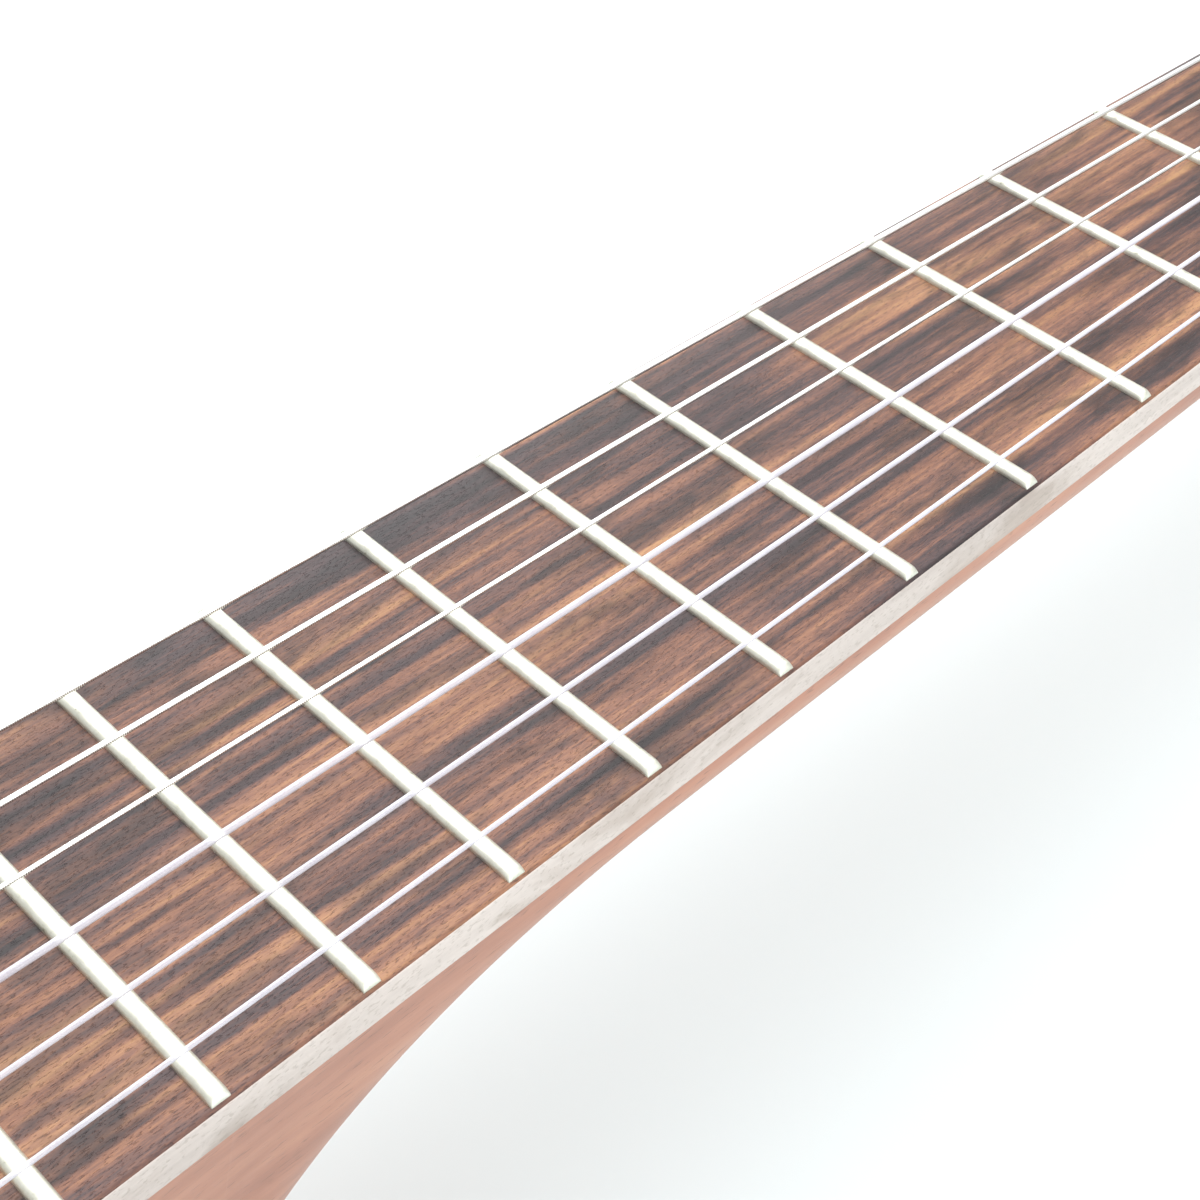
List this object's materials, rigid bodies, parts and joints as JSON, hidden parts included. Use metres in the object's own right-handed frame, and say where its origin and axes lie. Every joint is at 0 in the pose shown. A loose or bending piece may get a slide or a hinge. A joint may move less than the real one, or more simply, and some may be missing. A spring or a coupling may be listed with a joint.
{
  "type": "acoustic-electric guitar",
  "caption": "Nylon-string acoustic-electric guitar with a rounded cutaway, slotted headstock, worm-geared tuners and a side preamp.",
  "frame": {"origin": "on the plane of the flat back, under the middle of the overall length and width", "axes": "+X from the tail to the headstock, +Y to the bass side, +Z out of the soundboard"},
  "size_m": [1.0114, 0.37, 0.1071],
  "materials": {
    "spruce": "satin lacquer",
    "rosewood_body": "satin lacquer",
    "rosewood": "open pored, oiled",
    "mahogany": "satin lacquer",
    "inner_wood": "bare",
    "binding": "satin lacquer",
    "inlay": "satin lacquer",
    "bone": "polished",
    "fret_metal": "polished nickel silver",
    "brass": "polished",
    "button_plastic": "pearly",
    "nylon": "clear",
    "silver_winding": "silver-plated winding",
    "black_plastic": "satin",
    "knob_plastic": "satin",
    "jack_metal": "plated",
    "pickup": "plain"
  },
  "bodies": {
    "guitar": {"soundboard": "spruce", "back_plate": "rosewood_body", "sides": "rosewood_body", "top_binding": "binding", "back_binding": "binding", "rosette": "inlay", "neck_block": "inner_wood", "end_block": "inner_wood", "neck": "mahogany", "headstock_veneer": "rosewood", "fretboard": "rosewood", "fret_01": "fret_metal", "fret_02": "fret_metal", "fret_03": "fret_metal", "fret_04": "fret_metal", "fret_05": "fret_metal", "fret_06": "fret_metal", "fret_07": "fret_metal", "fret_08": "fret_metal", "fret_09": "fret_metal", "fret_10": "fret_metal", "fret_11": "fret_metal", "fret_12": "fret_metal", "fret_13": "fret_metal", "fret_14": "fret_metal", "fret_15": "fret_metal", "fret_16": "fret_metal", "fret_17": "fret_metal", "fret_18": "fret_metal", "fret_19": "fret_metal", "nut": "bone", "bridge": "rosewood", "saddle_pickup": "pickup", "saddle": "bone", "string_1": "nylon", "string_2": "nylon", "string_3": "nylon", "string_4": "silver_winding", "string_5": "silver_winding", "string_6": "silver_winding", "tuner_plate_treble": "brass", "tuner_plate_bass": "brass", "preamp_unit": "black_plastic", "output_jack": "jack_metal"},
    "roller_1": {"tuner_roller_1": "brass"},
    "button_1": {"tuner_button_1": "button_plastic"},
    "roller_2": {"tuner_roller_2": "brass"},
    "button_2": {"tuner_button_2": "button_plastic"},
    "roller_3": {"tuner_roller_3": "brass"},
    "button_3": {"tuner_button_3": "button_plastic"},
    "roller_4": {"tuner_roller_4": "brass"},
    "button_4": {"tuner_button_4": "button_plastic"},
    "roller_5": {"tuner_roller_5": "brass"},
    "button_5": {"tuner_button_5": "button_plastic"},
    "roller_6": {"tuner_roller_6": "brass"},
    "button_6": {"tuner_button_6": "button_plastic"},
    "volume_knob": {"volume_knob": "knob_plastic"},
    "treble_knob": {"treble_knob": "knob_plastic"},
    "bass_knob": {"bass_knob": "knob_plastic"},
    "battery_door": {"battery_door": "black_plastic"}
  },
  "joints": [
    {"name": "roller_1_turn", "type": "hinge", "parent": "guitar", "child": "roller_1", "pos_m": [0.37856, 0, 0.06985], "axis": [0, 1, 0], "continuous": true},
    {"name": "button_1_turn", "type": "hinge", "parent": "guitar", "child": "button_1", "pos_m": [0.37083, -0.0399, 0.07192], "axis": [0.2588, 0, 0.9659], "continuous": true},
    {"name": "roller_2_turn", "type": "hinge", "parent": "guitar", "child": "roller_2", "pos_m": [0.41236, 0, 0.06079], "axis": [0, 1, 0], "continuous": true},
    {"name": "button_2_turn", "type": "hinge", "parent": "guitar", "child": "button_2", "pos_m": [0.40464, -0.0399, 0.06286], "axis": [0.2588, 0, 0.9659], "continuous": true},
    {"name": "roller_3_turn", "type": "hinge", "parent": "guitar", "child": "roller_3", "pos_m": [0.44617, 0, 0.05173], "axis": [0, 1, 0], "continuous": true},
    {"name": "button_3_turn", "type": "hinge", "parent": "guitar", "child": "button_3", "pos_m": [0.43844, -0.0399, 0.0538], "axis": [0.2588, 0, 0.9659], "continuous": true},
    {"name": "roller_4_turn", "type": "hinge", "parent": "guitar", "child": "roller_4", "pos_m": [0.44617, 0, 0.05173], "axis": [0, 1, 0], "continuous": true},
    {"name": "button_4_turn", "type": "hinge", "parent": "guitar", "child": "button_4", "pos_m": [0.43844, 0.0399, 0.0538], "axis": [0.2588, 0, 0.9659], "continuous": true},
    {"name": "roller_5_turn", "type": "hinge", "parent": "guitar", "child": "roller_5", "pos_m": [0.41236, 0, 0.06079], "axis": [0, 1, 0], "continuous": true},
    {"name": "button_5_turn", "type": "hinge", "parent": "guitar", "child": "button_5", "pos_m": [0.40464, 0.0399, 0.06286], "axis": [0.2588, 0, 0.9659], "continuous": true},
    {"name": "roller_6_turn", "type": "hinge", "parent": "guitar", "child": "roller_6", "pos_m": [0.37856, 0, 0.06985], "axis": [0, 1, 0], "continuous": true},
    {"name": "button_6_turn", "type": "hinge", "parent": "guitar", "child": "button_6", "pos_m": [0.37083, 0.0399, 0.07192], "axis": [0.2588, 0, 0.9659], "continuous": true},
    {"name": "volume_knob_turn", "type": "hinge", "parent": "guitar", "child": "volume_knob", "pos_m": [-0.13562, 0.14057, 0.0655], "axis": [-0.2316, 0.9728, 0], "range_deg": [-135, 135]},
    {"name": "treble_knob_turn", "type": "hinge", "parent": "guitar", "child": "treble_knob", "pos_m": [-0.13562, 0.14057, 0.047], "axis": [-0.2316, 0.9728, 0], "range_deg": [-135, 135]},
    {"name": "bass_knob_turn", "type": "hinge", "parent": "guitar", "child": "bass_knob", "pos_m": [-0.13562, 0.14057, 0.0285], "axis": [-0.2316, 0.9728, 0], "range_deg": [-135, 135]},
    {"name": "battery_door_swing", "type": "hinge", "parent": "guitar", "child": "battery_door", "pos_m": [-0.18974, 0.12614, 0.047], "axis": [0, 0, 1], "range_deg": [0, 95]}
  ],
  "couplings": [
    {"joint": "roller_1_turn", "follows": "button_1_turn", "ratio": 0.071429},
    {"joint": "roller_2_turn", "follows": "button_2_turn", "ratio": 0.071429},
    {"joint": "roller_3_turn", "follows": "button_3_turn", "ratio": 0.071429},
    {"joint": "roller_4_turn", "follows": "button_4_turn", "ratio": -0.071429},
    {"joint": "roller_5_turn", "follows": "button_5_turn", "ratio": -0.071429},
    {"joint": "roller_6_turn", "follows": "button_6_turn", "ratio": -0.071429}
  ]
}
